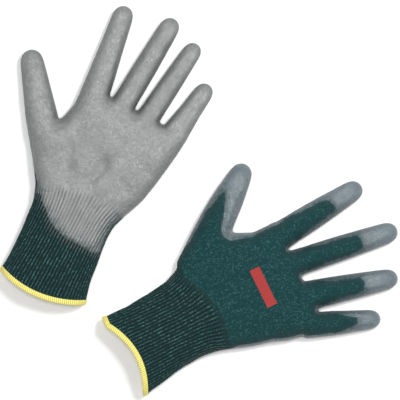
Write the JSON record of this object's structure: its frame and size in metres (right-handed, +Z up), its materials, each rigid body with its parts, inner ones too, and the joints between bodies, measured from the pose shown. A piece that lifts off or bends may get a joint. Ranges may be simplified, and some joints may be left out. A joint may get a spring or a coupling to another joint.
{
  "type": "cut resistant glove",
  "caption": "Pair of knitted cut resistant gloves dipped on the palm side, with ribbed cuffs and overlocked hems, laid flat: the left palm up, the right palm down.",
  "frame": {"origin": "bottom centre of the pair's box, on the surface that the gloves lie on", "axes": "+Z up from the surface; +X to the right along the pair's longest side; +Y away, towards the left glove's fingertips"},
  "size_m": [0.335, 0.3286, 0.0257],
  "materials": {
    "knit": "seamless knit of green and pale speckled yarn",
    "rib": "ribbed knit of dark green and pale speckled yarn",
    "coat": "satin grey polyurethane dip",
    "hem": "pale yellow overlock thread",
    "elastic": "bare elastic yarn",
    "print": "flat red print ink"
  },
  "bodies": {
    "left_hand": {"left_hand_knit": "knit", "left_palm_coat": "coat"},
    "left_cuff": {"left_cuff_rib": "rib", "left_cuff_coat": "coat", "left_hem_binding": "hem", "left_cuff_elastic": "elastic"},
    "left_thumb_near": {"left_thumb_near_knit": "knit", "left_thumb_near_coat": "coat"},
    "left_thumb_far": {"left_thumb_far_knit": "knit", "left_thumb_far_coat": "coat"},
    "left_index_near": {"left_index_near_knit": "knit", "left_index_near_coat": "coat"},
    "left_index_far": {"left_index_far_knit": "knit", "left_index_far_coat": "coat"},
    "left_middle_near": {"left_middle_near_knit": "knit", "left_middle_near_coat": "coat"},
    "left_middle_far": {"left_middle_far_knit": "knit", "left_middle_far_coat": "coat"},
    "left_ring_near": {"left_ring_near_knit": "knit", "left_ring_near_coat": "coat"},
    "left_ring_far": {"left_ring_far_knit": "knit", "left_ring_far_coat": "coat"},
    "left_little_near": {"left_little_near_knit": "knit", "left_little_near_coat": "coat"},
    "left_little_far": {"left_little_far_knit": "knit", "left_little_far_coat": "coat"},
    "right_hand": {"right_hand_knit": "knit", "right_palm_coat": "coat", "right_back_print": "print"},
    "right_cuff": {"right_cuff_rib": "rib", "right_cuff_coat": "coat", "right_hem_binding": "hem", "right_cuff_elastic": "elastic"},
    "right_thumb_near": {"right_thumb_near_knit": "knit", "right_thumb_near_coat": "coat"},
    "right_thumb_far": {"right_thumb_far_knit": "knit", "right_thumb_far_coat": "coat"},
    "right_index_near": {"right_index_near_knit": "knit", "right_index_near_coat": "coat"},
    "right_index_far": {"right_index_far_knit": "knit", "right_index_far_coat": "coat"},
    "right_middle_near": {"right_middle_near_knit": "knit", "right_middle_near_coat": "coat"},
    "right_middle_far": {"right_middle_far_knit": "knit", "right_middle_far_coat": "coat"},
    "right_ring_near": {"right_ring_near_knit": "knit", "right_ring_near_coat": "coat"},
    "right_ring_far": {"right_ring_far_knit": "knit", "right_ring_far_coat": "coat"},
    "right_little_near": {"right_little_near_knit": "knit", "right_little_near_coat": "coat"},
    "right_little_far": {"right_little_far_knit": "knit", "right_little_far_coat": "coat"}
  },
  "joints": [
    {"name": "left_wrist_fold", "type": "hinge", "parent": "left_hand", "child": "left_cuff", "pos_m": [-0.10906, -0.01578, 0.0201], "axis": [-0.8829, 0.4695, 0], "range_deg": [0, 60]},
    {"name": "left_thumb_knuckle", "type": "hinge", "parent": "left_hand", "child": "left_thumb_near", "pos_m": [-0.1332, 0.07067, 0.02483], "axis": [0.9848, 0.1736, 0], "range_deg": [0, 45]},
    {"name": "left_thumb_middle_joint", "type": "hinge", "parent": "left_thumb_near", "child": "left_thumb_far", "pos_m": [-0.13719, 0.09332, 0.02178], "axis": [0.9848, 0.1736, 0], "range_deg": [0, 50]},
    {"name": "left_index_knuckle", "type": "hinge", "parent": "left_hand", "child": "left_index_near", "pos_m": [-0.0847, 0.09925, 0.02188], "axis": [0.8829, -0.4695, 0], "range_deg": [0, 80]},
    {"name": "left_index_middle_joint", "type": "hinge", "parent": "left_index_near", "child": "left_index_far", "pos_m": [-0.07598, 0.12375, 0.01935], "axis": [0.8829, -0.4695, 0], "range_deg": [0, 85]},
    {"name": "left_middle_knuckle", "type": "hinge", "parent": "left_hand", "child": "left_middle_near", "pos_m": [-0.06095, 0.08662, 0.01909], "axis": [0.8829, -0.4695, 0], "range_deg": [0, 80]},
    {"name": "left_middle_middle_joint", "type": "hinge", "parent": "left_middle_near", "child": "left_middle_far", "pos_m": [-0.04602, 0.11148, 0.01853], "axis": [0.8829, -0.4695, 0], "range_deg": [0, 85]},
    {"name": "left_ring_knuckle", "type": "hinge", "parent": "left_hand", "child": "left_ring_near", "pos_m": [-0.03976, 0.07536, 0.01844], "axis": [0.8829, -0.4695, 0], "range_deg": [0, 80]},
    {"name": "left_ring_middle_joint", "type": "hinge", "parent": "left_ring_near", "child": "left_ring_far", "pos_m": [-0.02534, 0.09699, 0.01743], "axis": [0.8829, -0.4695, 0], "range_deg": [0, 85]},
    {"name": "left_little_knuckle", "type": "hinge", "parent": "left_hand", "child": "left_little_near", "pos_m": [-0.01821, 0.0605, 0.02024], "axis": [0.8829, -0.4695, 0], "range_deg": [0, 80]},
    {"name": "left_little_middle_joint", "type": "hinge", "parent": "left_little_near", "child": "left_little_far", "pos_m": [-0.00784, 0.07521, 0.01734], "axis": [0.8829, -0.4695, 0], "range_deg": [0, 85]},
    {"name": "right_glove_lift", "type": "slide", "parent": "left_hand", "child": "right_hand", "axis": [0, 0, 1], "range_m": [0, 0.08]},
    {"name": "right_wrist_fold", "type": "hinge", "parent": "right_hand", "child": "right_cuff", "pos_m": [-0.01369, -0.10004, 0.0201], "axis": [-0.4384, 0.8988, 0], "range_deg": [0, 45]},
    {"name": "right_thumb_knuckle", "type": "hinge", "parent": "right_hand", "child": "right_thumb_near", "pos_m": [0.01409, -0.01784, 0.0257], "axis": [0.8902, -0.4555, 0], "range_deg": [0, 35]},
    {"name": "right_thumb_middle_joint", "type": "hinge", "parent": "right_thumb_near", "child": "right_thumb_far", "pos_m": [0.02412, 0.00174, 0.02276], "axis": [0.8902, -0.4555, 0], "range_deg": [0, 30]},
    {"name": "right_index_knuckle", "type": "hinge", "parent": "right_hand", "child": "right_index_near", "pos_m": [0.07547, -0.02507, 0.02111], "axis": [0.4384, -0.8988, 0], "range_deg": [0, 45]},
    {"name": "right_index_middle_joint", "type": "hinge", "parent": "right_index_near", "child": "right_index_far", "pos_m": [0.09839, -0.0108, 0.01968], "axis": [0.4384, -0.8988, 0], "range_deg": [0, 30]},
    {"name": "right_middle_knuckle", "type": "hinge", "parent": "right_hand", "child": "right_middle_near", "pos_m": [0.08775, -0.05023, 0.01947], "axis": [0.4384, -0.8988, 0], "range_deg": [0, 45]},
    {"name": "right_middle_middle_joint", "type": "hinge", "parent": "right_middle_near", "child": "right_middle_far", "pos_m": [0.11721, -0.0406, 0.01878], "axis": [0.4384, -0.8988, 0], "range_deg": [0, 30]},
    {"name": "right_ring_knuckle", "type": "hinge", "parent": "right_hand", "child": "right_ring_near", "pos_m": [0.10017, -0.078, 0.02111], "axis": [0.4384, -0.8988, 0], "range_deg": [0, 45]},
    {"name": "right_ring_middle_joint", "type": "hinge", "parent": "right_ring_near", "child": "right_ring_far", "pos_m": [0.12566, -0.07286, 0.01908], "axis": [0.4384, -0.8988, 0], "range_deg": [0, 30]},
    {"name": "right_little_knuckle", "type": "hinge", "parent": "right_hand", "child": "right_little_near", "pos_m": [0.11039, -0.1035, 0.01865], "axis": [0.4384, -0.8988, 0], "range_deg": [0, 45]},
    {"name": "right_little_middle_joint", "type": "hinge", "parent": "right_little_near", "child": "right_little_far", "pos_m": [0.1273, -0.10181, 0.01649], "axis": [0.4384, -0.8988, 0], "range_deg": [0, 30]}
  ]
}
